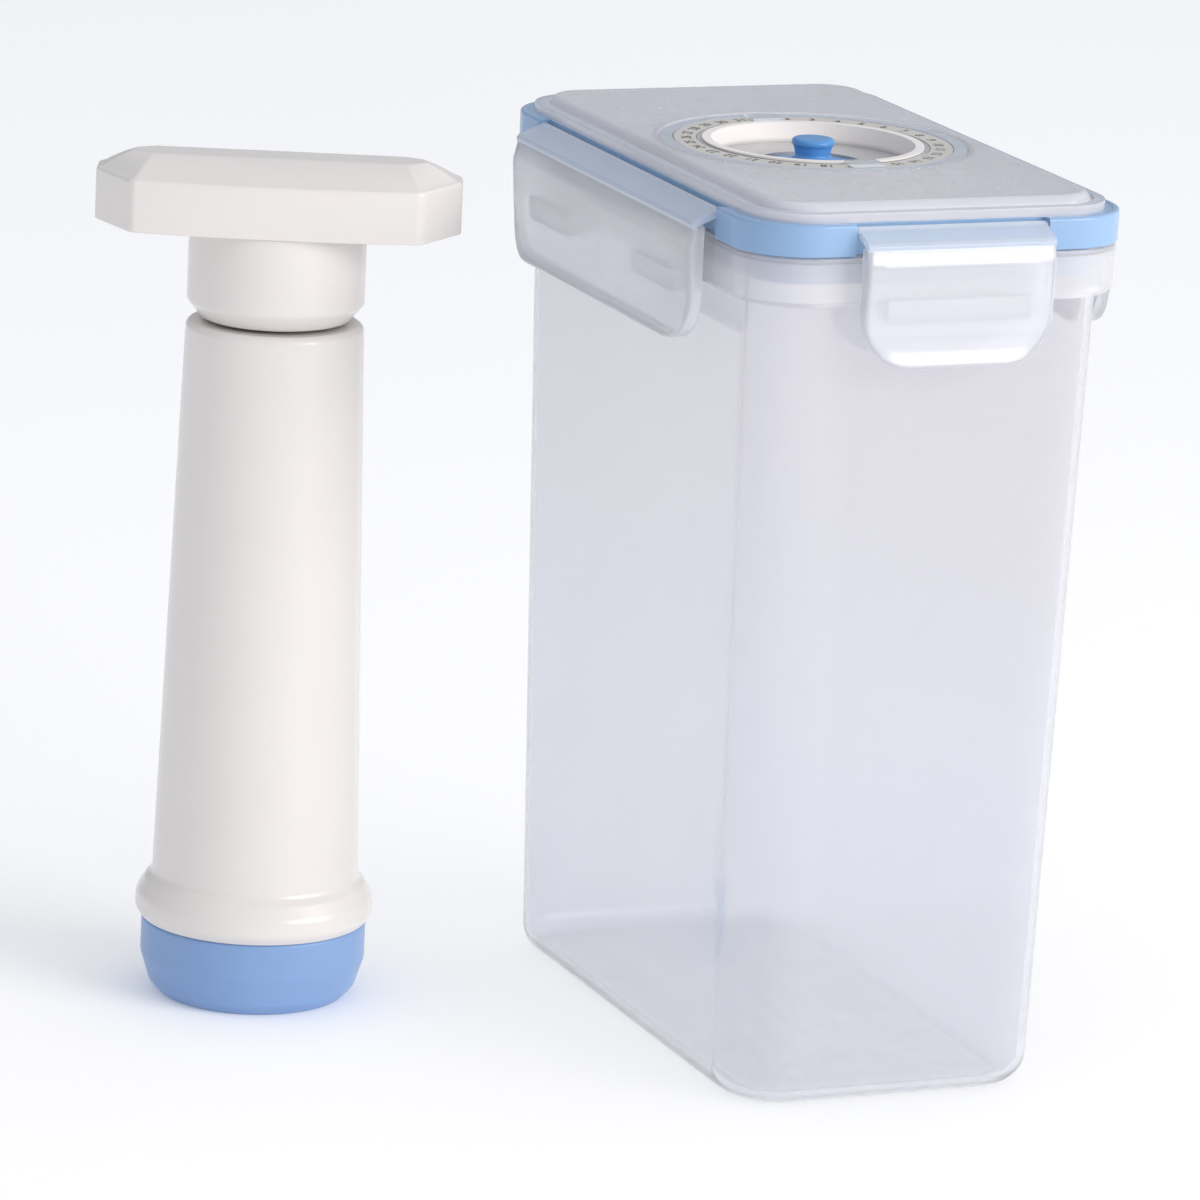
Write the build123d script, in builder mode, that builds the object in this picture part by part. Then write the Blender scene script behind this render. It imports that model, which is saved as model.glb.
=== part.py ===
"""A vacuum seal canister with its clip-on lid, date dial and hand pump.

The canister stands on the floor with its centre at the origin. X is its narrow side, Y its deep
side with the front at -Y, and Z is up. The hand pump stands beside it at -X.
All sizes are millimetres.
"""
from build123d import *
import os
from math import cos, pi, sin, sqrt

# The lid's outline, which everything at the mouth follows
lid_width = 96.0
lid_depth = 160.0
lid_corner = 17.0

# The box
base_width = 79.6
base_depth = 147.2
base_corner = 16.0
base_edge_radius = 7.0
body_wall = 1.8
floor_thickness = 2.2
inner_floor_radius = 5.0
rim_inset = 4.2
flange_top = 203.3
flange_height = 11.5
flange_inset = 0.6
flange_wall = 1.6
catch_chamfer = 1.2

# The blue frame of the lid
frame_gap = 0.3
frame_height = 7.4
frame_wall = 3.8
frame_web = 1.6
frame_edge = 0.8
plug_depth = 10.6
plug_wall = 1.8
plug_gap = 0.6
gasket_thickness = 2.3
gasket_gap = 0.2

# The lid panel
cover_inset = 2.4
cover_step = 1.5
cover_height = 3.7
panel_inset = 7.5
cover_wall = 1.8
cover_rim = 2.0
cover_rib = 1.6
cover_rib_depth = 4.5
seat_gap = 0.1

# The round well for the dial, and the opening in its floor
well_radius = 36.5
well_wall = 1.5
well_depth = 7.0
well_floor_wall = 1.6
well_opening = 16.0

# The white dish of the valve
dish_radius = 24.2
dish_wall = 1.4
dish_floor_thickness = 2.0
dish_depth = 4.9
dish_lip = 0.7
dish_lip_height = 0.4
dish_flange_wall = 1.6
dish_flange_height = 4.8
dish_foot = 1.4
cone_recess_depth = 1.2
cone_recess_gap = 0.5
stem_hole = 3.1
air_hole = 1.2
air_hole_circle = 8.0
air_hole_count = 6
o_ring_circle = 20.0
o_ring_section = 0.6

# The turning rings and the fixed ring round them
ring_running_gap = 0.06
ring_lift = 0.1
day_ring_radius = 33.0
day_ring_thickness = 1.7
day_ring_step = 0.9
bezel_gap = 0.3
bezel_height = 1.9
pointer_ring_width = 1.9
pointer_gap = 0.2
pointer_thickness = 0.6
pointer_tab_radius = 32.6
pointer_tab_width = 8.0
pointer_tab_thickness = 0.8

# The silicone valve
button_cone_radius = 12.0
button_cone_edge = 0.5
button_cone_top = 1.8
button_neck = 4.1
button_neck_height = 2.8
button_head = 5.1
button_head_height = 5.8
button_height = 6.8
button_stem = 2.9
button_bulb = 4.2
button_bulb_gap = 1.7
button_bulb_height = 3.0
button_seat_gap = 0.05

# The latches
latch_front_width = 47.0
latch_side_width = 108.6
latch_reach = 13.3
latch_corner = 12.0
latch_stand_out = 6.6
latch_wall = 1.6
latch_web_start = 1.3
latch_web_rise = 0.5
latch_web_height = 1.8
latch_shoulder_drop = 2.4
latch_shoulder_slope = 1.2
latch_rim_wall = 1.4
latch_rim_gap = 1.8
latch_axis_drop = 1.6
latch_axis_inset = 1.4
latch_barrel = 1.3
latch_pin = 0.8
latch_pin_reach = 1.1
latch_pin_gap = 0.05
latch_end_gap = 0.4
latch_recess_gap = 0.4
hook_front_width = 36.0
hook_front_break = 0.0
hook_side_width = 88.0
hook_side_break = 40.0
hook_overlap = 1.0
hook_gap = 0.3
hook_tip = 2.2
hook_catch = 3.0

# The pump, which stands beside the canister
pump_x = -116.0
pump_y = 47.5
handle_turn = -22.2

# The suction cup
cup_lip_radius = 22.4
cup_slant_radius = 25.0
cup_slant_height = 2.8
cup_radius = 27.1
cup_round_height = 9.6
cup_top = 18.8
cup_lip_width = 2.6
cup_hollow_radius = 21.0
cup_hollow_height = 13.6
cup_passage = 8.0
cup_edge = 0.9

# The barrel
collar_radius = 28.5
collar_foot_radius = 27.2
collar_bulge_height = 4.1
collar_height = 9.6
collar_top_radius = 26.2
collar_shoulder = 1.6
barrel_foot_radius = 24.9
barrel_length = 146.8
barrel_top_radius = 21.15
barrel_wall = 1.8
barrel_bore = 21.6
barrel_lip_bore = 12.0
barrel_lip_wall = 1.8
barrel_edge = 1.6

# The cylinder, its plate below and its bush above
plate_thickness = 3.5
plate_gap = 0.2
spigot_wall = 1.5
spigot_height = 5.5
spigot_gap = 0.1
cylinder_bore = 16.0
cylinder_wall = 1.6
bush_thickness = 5.8
bush_gap = 0.15
vent_hole = 1.2
vent_circle = 9.0
vent_count = 3

# The rod, the piston and the two rubber valves
rod_radius = 4.0
rod_running_gap = 0.08
rod_collar = 6.0
rod_collar_height = 1.4
piston_gap = 0.6
piston_rest_gap = 4.2
piston_height = 10.0
piston_socket = 6.5
seal_section = 1.45
seal_gap = 0.1
piston_hole = 1.3
piston_hole_circle = 9.0
piston_hole_count = 6
inlet_valve_radius = 8.0
inlet_valve_thickness = 1.0
inlet_stem = 1.4
inlet_stem_gap = 0.15
inlet_bulb = 2.6
inlet_bulb_height = 1.8
inlet_hole = 1.4
inlet_hole_circle = 5.0
inlet_hole_count = 4
exhaust_valve_radius = 12.0
exhaust_valve_thickness = 0.8
exhaust_valve_gap = 0.3
valve_lift = 0.8
valve_seat_gap = 0.05
valve_end_gap = 0.2

# The neck and the T handle
neck_gap = 0.8
neck_foot_radius = 17.6
neck_foot_height = 4.2
neck_radius = 21.1
neck_length = 22.6
neck_wall = 1.8
handle_length = 86.5
handle_depth = 44.0
handle_side_bow = 2.5
handle_point_length = 9.0
handle_point_width = 8.0
handle_ridge_length = 68.0
handle_ridge_width = 8.0
handle_ridge_point_length = 4.5
handle_ridge_point_width = 3.0
handle_base_thickness = 2.4
handle_face_height = 12.4
handle_crown = 4.2
handle_wall = 2.2
handle_edge = 1.0
screw_radius = 1.5
screw_head = 3.4
screw_head_height = 2.4
screw_length = 11.0

# One overrun for every cut that has to pass a face
overrun = 1.0

# Heights of the mouth and the lid, worked up from the flange
flange_bottom = flange_top - flange_height
frame_bottom = flange_top + frame_gap
frame_top = frame_bottom + frame_height
rim_height = frame_top - frame_web - gasket_thickness - gasket_gap
cover_top = frame_top + cover_height
well_floor = cover_top - well_depth
dish_floor = well_floor + dish_floor_thickness
dish_top = dish_floor + dish_depth
dish_flange_top = well_floor + dish_flange_height

# Heights of the latches, which hang from the frame and reach below the flange
latch_axis_height = frame_top - latch_axis_drop
latch_shoulder_top = latch_axis_height - latch_web_height
latch_bottom = flange_bottom - latch_reach

# Heights of the pump, worked up from its cup
collar_middle = cup_top + collar_bulge_height
collar_top = cup_top + collar_height
barrel_foot = collar_top + collar_shoulder
barrel_top = cup_top + barrel_length
neck_bottom = barrel_top + neck_gap
neck_top = neck_bottom + neck_length

os.makedirs("parts", exist_ok=True)


def lid_outline(inset):
    """The lid's rounded outline, moved inwards, in the sketch that is open."""
    RectangleRounded(lid_width - 2 * inset, lid_depth - 2 * inset, lid_corner - inset)


def lid_ring(inset, width):
    """A band between two such outlines, in the sketch that is open."""
    lid_outline(inset)
    with Locations((0, 0)):
        RectangleRounded(
            lid_width - 2 * (inset + width),
            lid_depth - 2 * (inset + width),
            lid_corner - inset - width,
            mode=Mode.SUBTRACT,
        )


def finish(piece, label):
    """Names a finished piece and writes it."""
    piece.part.label = label
    export_step(piece.part, f"parts/{label}.step")


# The canister's box: two drafted lofts, a folded flange and the rim lip
with BuildPart() as canister_body:
    with BuildSketch():
        RectangleRounded(base_width, base_depth, base_corner)
    with BuildSketch(Plane.XY.offset(rim_height)):
        lid_outline(rim_inset)
    loft(ruled=True)
    fillet(canister_body.faces().sort_by(Axis.Z)[0].edges(), base_edge_radius)
    with BuildSketch(Plane.XY.offset(flange_bottom)):
        lid_ring(flange_inset, flange_wall)
    extrude(amount=flange_top - flange_bottom)
    with BuildSketch(Plane.XY.offset(flange_top - flange_wall)):
        lid_outline(flange_inset)
    extrude(amount=flange_wall)
    catch_edges = canister_body.faces().filter_by(Axis.Z).filter_by_position(
        Axis.Z, flange_bottom - flange_wall / 2, flange_bottom + flange_wall / 2
    )[0].outer_wire().edges()
    chamfer(catch_edges, catch_chamfer)
    with BuildPart(mode=Mode.PRIVATE) as cavity:
        with BuildSketch(Plane.XY.offset(floor_thickness)):
            RectangleRounded(
                base_width - 2 * body_wall, base_depth - 2 * body_wall, base_corner - body_wall
            )
        with BuildSketch(Plane.XY.offset(rim_height)):
            lid_outline(rim_inset + body_wall)
        loft(ruled=True)
        fillet(cavity.faces().sort_by(Axis.Z)[0].edges(), inner_floor_radius)
    add(cavity.part, mode=Mode.SUBTRACT)
finish(canister_body, "canister_body")


# The four sides that carry a latch: the way out, the half size, and the latch's widths
def side_planes(out_x, out_y, half_size):
    """The plane on the lid's side, and the plane across it in which the latch's profile lies."""
    middle = (out_x * half_size, out_y * half_size, 0)
    face_plane = Plane(origin=middle, x_dir=(-out_y, out_x, 0), z_dir=(out_x, out_y, 0))
    profile_plane = Plane(origin=middle, x_dir=(out_x, out_y, 0), z_dir=(out_y, -out_x, 0))
    return face_plane, profile_plane


latch_sides = {
    "latch_front": (0, -1, lid_depth / 2, latch_front_width, hook_front_width, hook_front_break),
    "latch_back": (0, 1, lid_depth / 2, latch_front_width, hook_front_width, hook_front_break),
    "latch_left": (-1, 0, lid_width / 2, latch_side_width, hook_side_width, hook_side_break),
    "latch_right": (1, 0, lid_width / 2, latch_side_width, hook_side_width, hook_side_break),
}
recess_depth = latch_axis_inset + latch_barrel + latch_recess_gap

# The blue frame: outer wall, web over the rim lip, and the plug that drops into the mouth
plug_inset = rim_inset + body_wall + plug_gap
with BuildPart() as lid_frame:
    with BuildSketch(Plane.XY.offset(frame_bottom)):
        lid_ring(0, frame_wall)
    extrude(amount=frame_top - frame_bottom)
    with BuildSketch(Plane.XY.offset(frame_top - frame_web)):
        lid_ring(0, plug_inset + plug_wall)
    extrude(amount=frame_web)
    with BuildSketch(Plane.XY.offset(rim_height - plug_depth)):
        lid_ring(plug_inset, plug_wall)
    extrude(amount=frame_top - rim_height + plug_depth)
    fillet(lid_frame.faces().sort_by(Axis.Z)[-1].outer_wire().edges(), frame_edge)
    for out_x, out_y, half_size, latch_width, hook_width, hook_break in latch_sides.values():
        face_plane, profile_plane = side_planes(out_x, out_y, half_size)
        with BuildSketch(face_plane):
            with Locations((0, (frame_top + frame_bottom) / 2)):
                Rectangle(latch_width + 2 * latch_end_gap, frame_top - frame_bottom + 2 * overrun)
        extrude(amount=-recess_depth, mode=Mode.SUBTRACT)
        with BuildSketch(profile_plane):
            with Locations((-latch_axis_inset, latch_axis_height)):
                Circle(latch_pin + latch_pin_gap)
        pin_reach = latch_width / 2 + latch_end_gap + latch_pin_reach + latch_end_gap
        extrude(amount=pin_reach, both=True, mode=Mode.SUBTRACT)
finish(lid_frame, "lid_frame")

# The gasket fills the frame's channel above the rim lip
with BuildPart() as lid_gasket:
    with BuildSketch(Plane.XY.offset(rim_height + gasket_gap)):
        lid_ring(frame_wall, plug_inset - frame_wall)
    extrude(amount=gasket_thickness)
finish(lid_gasket, "lid_gasket")

# The lid panel: a stepped and sloped edge, a locating rib and the round well
rib_inset = plug_inset + plug_wall + seat_gap
with BuildPart() as lid_cover:
    with BuildSketch(Plane.XY.offset(frame_top)):
        lid_outline(cover_inset)
    extrude(amount=cover_step)
    with BuildSketch(Plane.XY.offset(frame_top + cover_step)):
        lid_outline(cover_inset)
    with BuildSketch(Plane.XY.offset(cover_top)):
        lid_outline(panel_inset)
    loft(ruled=True)
    with BuildSketch(Plane.XY.offset(frame_top)):
        lid_outline(cover_inset + cover_rim)
    extrude(amount=cover_top - cover_wall - frame_top, mode=Mode.SUBTRACT)
    with BuildSketch(Plane.XY.offset(frame_top - cover_rib_depth)):
        lid_ring(rib_inset, cover_rib)
    extrude(amount=cover_rib_depth + cover_top - cover_wall - frame_top)
    with BuildSketch(Plane.XY.offset(well_floor - well_floor_wall)):
        Circle(well_radius + well_wall)
    extrude(amount=cover_top - cover_wall - well_floor + well_floor_wall)
    with BuildSketch(Plane.XY.offset(well_floor)):
        Circle(well_radius)
    extrude(amount=cover_top - well_floor + overrun, mode=Mode.SUBTRACT)
    with BuildSketch(Plane.XY.offset(well_floor - well_floor_wall)):
        Circle(well_opening)
    extrude(amount=well_floor_wall, mode=Mode.SUBTRACT)
finish(lid_cover, "lid_cover")

# The white dish, turned as one profile, with its stem hole, air holes and seal groove
dish_outer = dish_radius + dish_wall
flange_radius = well_radius - seat_gap
cone_floor = dish_floor - cone_recess_depth
with BuildPart() as valve_housing:
    with BuildSketch(Plane.XZ):
        with BuildLine():
            Polyline(
                (stem_hole, well_floor),
                (dish_outer, well_floor),
                (dish_outer, dish_flange_top - dish_flange_wall),
                (flange_radius - dish_foot, dish_flange_top - dish_flange_wall),
                (flange_radius - dish_foot, well_floor),
                (flange_radius, well_floor),
                (flange_radius, dish_flange_top),
                (dish_outer, dish_flange_top),
                (dish_outer, dish_top - dish_lip_height),
                (dish_outer + dish_lip, dish_top - dish_lip_height),
                (dish_outer + dish_lip, dish_top),
                (dish_radius, dish_top),
                (dish_radius, dish_floor),
                (button_cone_radius + cone_recess_gap, dish_floor),
                (button_cone_radius + cone_recess_gap, cone_floor),
                (stem_hole, cone_floor),
                close=True,
            )
        make_face()
    revolve(axis=Axis.Z)
    with BuildSketch(Plane.XY.offset(well_floor)):
        with PolarLocations(air_hole_circle, air_hole_count):
            Circle(air_hole)
    extrude(amount=dish_floor - well_floor, mode=Mode.SUBTRACT)
    with BuildSketch(Plane.XY.offset(well_floor)):
        Circle(o_ring_circle + o_ring_section)
        Circle(o_ring_circle - o_ring_section, mode=Mode.SUBTRACT)
    extrude(amount=2 * o_ring_section, mode=Mode.SUBTRACT)
finish(valve_housing, "valve_housing")

with BuildPart() as housing_o_ring:
    with BuildSketch(Plane.XZ):
        with Locations((o_ring_circle, well_floor + o_ring_section)):
            Circle(o_ring_section)
    revolve(axis=Axis.Z)
finish(housing_o_ring, "housing_o_ring")

# The day ring turns on the dish's wall and lies on its flange, with a step at its inner edge
ring_bore = dish_outer + ring_running_gap
pointer_radius = ring_bore + pointer_ring_width
day_ring_bottom = dish_flange_top + ring_lift
day_ring_top = day_ring_bottom + day_ring_thickness
with BuildPart() as day_ring:
    with BuildSketch(Plane.XY.offset(day_ring_bottom)):
        Circle(day_ring_radius)
        Circle(ring_bore, mode=Mode.SUBTRACT)
    extrude(amount=day_ring_thickness - day_ring_step)
    with BuildSketch(Plane.XY.offset(day_ring_top - day_ring_step)):
        Circle(day_ring_radius)
        Circle(pointer_radius + pointer_gap, mode=Mode.SUBTRACT)
    extrude(amount=day_ring_step)
finish(day_ring, "day_ring")

# The pointer ring turns in that step under the dish's lip; its two opposed tabs reach over the numbers
pointer_bottom = day_ring_top - day_ring_step + ring_lift
tab_start = dish_outer + dish_lip + ring_lift
tab_bottom = day_ring_top + ring_lift
tab_top = tab_bottom + pointer_tab_thickness
with BuildPart() as pointer_ring:
    with BuildSketch(Plane.XY.offset(pointer_bottom)):
        Circle(pointer_radius)
        Circle(ring_bore, mode=Mode.SUBTRACT)
    extrude(amount=pointer_thickness)
    for tab_end, tab_foot in ((pointer_radius, pointer_bottom), (pointer_tab_radius, tab_bottom)):
        with BuildSketch(Plane.XY.offset(tab_foot)):
            with PolarLocations((tab_start + tab_end) / 2, 2, start_angle=90):
                Rectangle(tab_end - tab_start, pointer_tab_width)
            Circle(tab_end, mode=Mode.INTERSECT)
        extrude(amount=tab_top - tab_foot)
finish(pointer_ring, "pointer_ring")

# The fixed ring fills the well outside the day ring
with BuildPart() as dial_bezel:
    with BuildSketch(Plane.XY.offset(dish_flange_top)):
        Circle(flange_radius)
        Circle(day_ring_radius + bezel_gap, mode=Mode.SUBTRACT)
    extrude(amount=bezel_height)
finish(dial_bezel, "dial_bezel")

# The silicone valve: cone over the air holes, nub above, stem and bulb below
button_seat = cone_floor + button_seat_gap
bulb_top = well_floor - button_bulb_gap
with BuildPart() as valve_button:
    with BuildSketch(Plane.XZ):
        with BuildLine():
            Polyline(
                (0, bulb_top - button_bulb_height),
                (button_bulb - button_bulb_height / 2, bulb_top - button_bulb_height),
            )
            ThreePointArc(
                (button_bulb - button_bulb_height / 2, bulb_top - button_bulb_height),
                (button_bulb, bulb_top - button_bulb_height / 2),
                (button_bulb - button_bulb_height / 2, bulb_top),
            )
            Polyline(
                (button_bulb - button_bulb_height / 2, bulb_top),
                (button_stem, bulb_top),
                (button_stem, button_seat),
                (button_cone_radius, button_seat),
                (button_cone_radius, button_seat + button_cone_edge),
                (button_head, button_seat + button_cone_top),
                (button_neck, button_seat + button_neck_height),
            )
            Spline(
                (button_neck, button_seat + button_neck_height),
                (button_head, button_seat + button_head_height),
                tangents=((0, 1), (0, 1)),
            )
            ThreePointArc(
                (button_head, button_seat + button_head_height),
                (
                    button_head - (1 - cos(pi / 4)) * (button_height - button_head_height),
                    button_seat + button_head_height
                    + sin(pi / 4) * (button_height - button_head_height),
                ),
                (
                    button_head - (button_height - button_head_height),
                    button_seat + button_height,
                ),
            )
            Polyline(
                (button_head - (button_height - button_head_height), button_seat + button_height),
                (0, button_seat + button_height),
                (0, bulb_top - button_bulb_height),
            )
        make_face()
    revolve(axis=Axis.Z)
finish(valve_button, "valve_button")


def latch_outline(latch_width, inset):
    """The finger plate's outline with its two round lower corners, in the sketch that is open."""
    half = latch_width / 2 - inset
    bottom = latch_bottom + inset
    top = latch_shoulder_top - latch_shoulder_drop
    with BuildLine() as outline:
        FilletPolyline(
            (-half, top), (-half, bottom), (half, bottom), (half, top), radius=latch_corner - inset
        )
        Line((half, top), (-half, top))
    make_face(outline.edges())


# The latches: barrel and pins above, shoulder, finger plate with its rim, and the hook
def make_latch(out_x, out_y, half_size, latch_width, hook_width, hook_break):
    """One latch on its side of the lid; its profile is drawn outwards from the lid's outline."""
    face_plane, profile_plane = side_planes(out_x, out_y, half_size)
    plate_inside = latch_stand_out - latch_wall
    web_out = latch_web_start - latch_axis_inset
    web_top = latch_axis_height + latch_web_rise
    web_run = latch_stand_out - latch_shoulder_slope - web_out
    web_depth = latch_wall * sqrt(web_run**2 + (web_top - latch_shoulder_top) ** 2) / web_run
    rim_inside = latch_rim_gap - flange_inset
    hook_tip_out = -flange_inset - hook_overlap
    hook_drop = hook_gap * (cos(pi / 4) + sin(pi / 4))
    hook_tip_top = flange_bottom + catch_chamfer - hook_overlap - hook_drop
    with BuildPart() as latch:
        with BuildSketch(profile_plane):
            with BuildLine():
                Polyline(
                    (web_out, web_top),
                    (latch_stand_out - latch_shoulder_slope, latch_shoulder_top),
                    (latch_stand_out, latch_shoulder_top - latch_shoulder_drop),
                    (plate_inside, latch_shoulder_top - latch_shoulder_drop),
                    (plate_inside, latch_shoulder_top - web_depth),
                    (web_out, web_top - web_depth),
                    (-latch_axis_inset, latch_axis_height),
                    close=True,
                )
            make_face()
            with Locations((-latch_axis_inset, latch_axis_height)):
                Circle(latch_barrel)
        extrude(amount=latch_width / 2, both=True)
        with BuildSketch(face_plane.offset(rim_inside)):
            latch_outline(latch_width, 0)
        extrude(amount=latch_stand_out - rim_inside)
        with BuildSketch(face_plane.offset(rim_inside)):
            latch_outline(latch_width, latch_rim_wall)
        extrude(amount=plate_inside - rim_inside, mode=Mode.SUBTRACT)
        with BuildSketch(profile_plane) as hook:
            with BuildLine():
                Polyline(
                    (hook_tip_out, hook_tip_top - hook_tip),
                    (hook_tip_out, hook_tip_top),
                    (hook_tip_out + hook_catch, hook_tip_top + hook_catch),
                    (plate_inside, hook_tip_top + hook_catch),
                    (plate_inside, hook_tip_top - hook_tip),
                    close=True,
                )
            make_face()
        extrude(amount=hook_width / 2, both=True)
        if hook_break:
            extrude(hook.sketch, amount=hook_break / 2, both=True, mode=Mode.SUBTRACT)
        with BuildSketch(profile_plane):
            with Locations((-latch_axis_inset, latch_axis_height)):
                Circle(latch_pin)
        extrude(amount=latch_width / 2 + latch_end_gap + latch_pin_reach, both=True)
    return latch


for latch_name, latch_side in latch_sides.items():
    finish(make_latch(*latch_side), latch_name)

# The pump's turned pieces are drawn in this plane, with its axis as their upright
pump_plane = Plane(origin=(pump_x, pump_y, 0), x_dir=(1, 0, 0), z_dir=(0, -1, 0))
pump_axis = Axis((pump_x, pump_y, 0), (0, 0, 1))


def pump_level(height):
    """The level plane on the pump's axis at a height."""
    return Plane(origin=(pump_x, pump_y, height))


with BuildPart() as pump_suction_cup:
    with BuildSketch(pump_plane):
        with BuildLine():
            Line((cup_lip_radius - cup_lip_width, 0), (cup_lip_radius, 0))
            ThreePointArc(
                (cup_lip_radius, 0),
                (
                    cup_lip_radius + (cup_slant_radius - cup_lip_radius) * sin(pi / 4),
                    cup_slant_height * (1 - cos(pi / 4)),
                ),
                (cup_slant_radius, cup_slant_height),
            )
            Polyline(
                (cup_slant_radius, cup_slant_height),
                (cup_radius, cup_round_height),
                (cup_radius, cup_top - cup_edge),
                (cup_radius - cup_edge, cup_top),
                (cup_passage, cup_top),
                (cup_passage, cup_hollow_height),
                (cup_hollow_radius - cup_lip_width, cup_hollow_height),
            )
            ThreePointArc(
                (cup_hollow_radius - cup_lip_width, cup_hollow_height),
                (
                    cup_hollow_radius - (1 - cos(pi / 4)) * cup_lip_width,
                    cup_hollow_height - (1 - sin(pi / 4)) * cup_lip_width,
                ),
                (cup_hollow_radius, cup_hollow_height - cup_lip_width),
            )
            Line(
                (cup_hollow_radius, cup_hollow_height - cup_lip_width),
                (cup_lip_radius - cup_lip_width, 0),
            )
        make_face()
    revolve(axis=pump_axis)
finish(pump_suction_cup, "pump_suction_cup")

# The barrel: bulged collar, long taper and an inner lip at the top
with BuildPart() as pump_barrel:
    with BuildSketch(pump_plane):
        with BuildLine():
            Line((barrel_bore, cup_top), (collar_foot_radius, cup_top))
            ThreePointArc(
                (collar_foot_radius, cup_top),
                (collar_radius, collar_middle),
                (collar_top_radius, collar_top),
            )
            Polyline(
                (collar_top_radius, collar_top),
                (barrel_foot_radius, barrel_foot),
                (barrel_top_radius, barrel_top),
                (barrel_lip_bore, barrel_top),
                (barrel_lip_bore, barrel_top - barrel_lip_wall),
                (barrel_top_radius - barrel_wall, barrel_top - barrel_lip_wall),
                (barrel_foot_radius - barrel_wall, barrel_foot),
                (barrel_bore, barrel_foot - barrel_wall),
                (barrel_bore, cup_top),
            )
        make_face()
    revolve(axis=pump_axis)
    fillet(pump_barrel.faces().sort_by(Axis.Z)[-1].outer_wire().edges(), barrel_edge)
finish(pump_barrel, "pump_barrel")

# The plate below the cylinder, with its spigot, its inlet holes and the valve's stem hole
plate_top = cup_top + plate_thickness
cylinder_outer = cylinder_bore + cylinder_wall
spigot_bore = cylinder_outer + spigot_gap
with BuildPart() as pump_valve_plate:
    with BuildSketch(pump_level(cup_top)):
        Circle(barrel_bore - plate_gap)
    extrude(amount=plate_thickness)
    with BuildSketch(pump_level(plate_top)):
        Circle(spigot_bore + spigot_wall)
        Circle(spigot_bore, mode=Mode.SUBTRACT)
    extrude(amount=spigot_height)
    with BuildSketch(pump_level(cup_top)):
        Circle(inlet_stem + inlet_stem_gap)
        with PolarLocations(inlet_hole_circle, inlet_hole_count):
            Circle(inlet_hole)
    extrude(amount=plate_thickness, mode=Mode.SUBTRACT)
finish(pump_valve_plate, "pump_valve_plate")

# The inlet valve: a rubber mushroom that lifts off the plate
inlet_seat = plate_top + valve_seat_gap
inlet_bulb_top = cup_top - valve_lift - valve_end_gap
with BuildPart() as pump_inlet_valve:
    with BuildSketch(pump_level(inlet_bulb_top - inlet_bulb_height)):
        Circle(inlet_bulb)
    extrude(amount=inlet_bulb_height)
    with BuildSketch(pump_level(inlet_bulb_top)):
        Circle(inlet_stem)
    extrude(amount=inlet_seat - inlet_bulb_top)
    with BuildSketch(pump_level(inlet_seat)):
        Circle(inlet_valve_radius)
    extrude(amount=inlet_valve_thickness)
finish(pump_inlet_valve, "pump_inlet_valve")

bush_top = barrel_top - barrel_lip_wall
bush_bottom = bush_top - bush_thickness
with BuildPart() as pump_cylinder:
    with BuildSketch(pump_level(plate_top)):
        Circle(cylinder_outer)
        Circle(cylinder_bore, mode=Mode.SUBTRACT)
    extrude(amount=bush_bottom - plate_top)
finish(pump_cylinder, "pump_cylinder")

with BuildPart() as pump_top_bush:
    with BuildSketch(pump_level(bush_bottom)):
        Circle(barrel_top_radius - barrel_wall - bush_gap)
        Circle(rod_radius + rod_running_gap, mode=Mode.SUBTRACT)
        with PolarLocations(vent_circle, vent_count):
            Circle(vent_hole, mode=Mode.SUBTRACT)
    extrude(amount=bush_thickness)
finish(pump_top_bush, "pump_top_bush")

# The piston with its seal groove, air holes and the rod's socket
piston_radius = cylinder_bore - piston_gap
piston_bottom = plate_top + piston_rest_gap
piston_top = piston_bottom + piston_height
seal_middle = cylinder_bore - seal_gap - seal_section
seal_height = piston_bottom + piston_height / 2
with BuildPart() as pump_piston:
    with BuildSketch(pump_level(piston_bottom)):
        Circle(piston_radius)
    extrude(amount=piston_height)
    with BuildSketch(pump_level(seal_height - seal_section)):
        Circle(piston_radius)
        Circle(seal_middle - seal_section, mode=Mode.SUBTRACT)
    extrude(amount=2 * seal_section, mode=Mode.SUBTRACT)
    with BuildSketch(pump_level(piston_bottom)):
        with PolarLocations(piston_hole_circle, piston_hole_count):
            Circle(piston_hole)
    extrude(amount=piston_height, mode=Mode.SUBTRACT)
    with BuildSketch(pump_level(piston_top - piston_socket)):
        Circle(rod_radius)
    extrude(amount=piston_socket, mode=Mode.SUBTRACT)
finish(pump_piston, "pump_piston")

with BuildPart() as pump_piston_seal:
    with BuildSketch(pump_plane):
        with Locations((seal_middle, seal_height)):
            Circle(seal_section)
    revolve(axis=pump_axis)
finish(pump_piston_seal, "pump_piston_seal")

# The exhaust valve: a rubber ring that lifts between the piston and the rod's collar
exhaust_seat = piston_top + valve_seat_gap
with BuildPart() as pump_exhaust_valve:
    with BuildSketch(pump_level(exhaust_seat)):
        Circle(exhaust_valve_radius)
        Circle(rod_radius + exhaust_valve_gap, mode=Mode.SUBTRACT)
    extrude(amount=exhaust_valve_thickness)
finish(pump_exhaust_valve, "pump_exhaust_valve")

collar_bottom = exhaust_seat + exhaust_valve_thickness + valve_lift + valve_end_gap
with BuildPart() as pump_rod:
    with BuildSketch(pump_level(piston_top - piston_socket)):
        Circle(rod_radius)
    extrude(amount=neck_top - piston_top + piston_socket)
    with BuildSketch(pump_level(collar_bottom)):
        Circle(rod_collar)
    extrude(amount=rod_collar_height)
    with BuildSketch(pump_level(neck_top)):
        Circle(screw_radius)
    extrude(amount=-screw_length, mode=Mode.SUBTRACT)
finish(pump_rod, "pump_rod")

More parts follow.
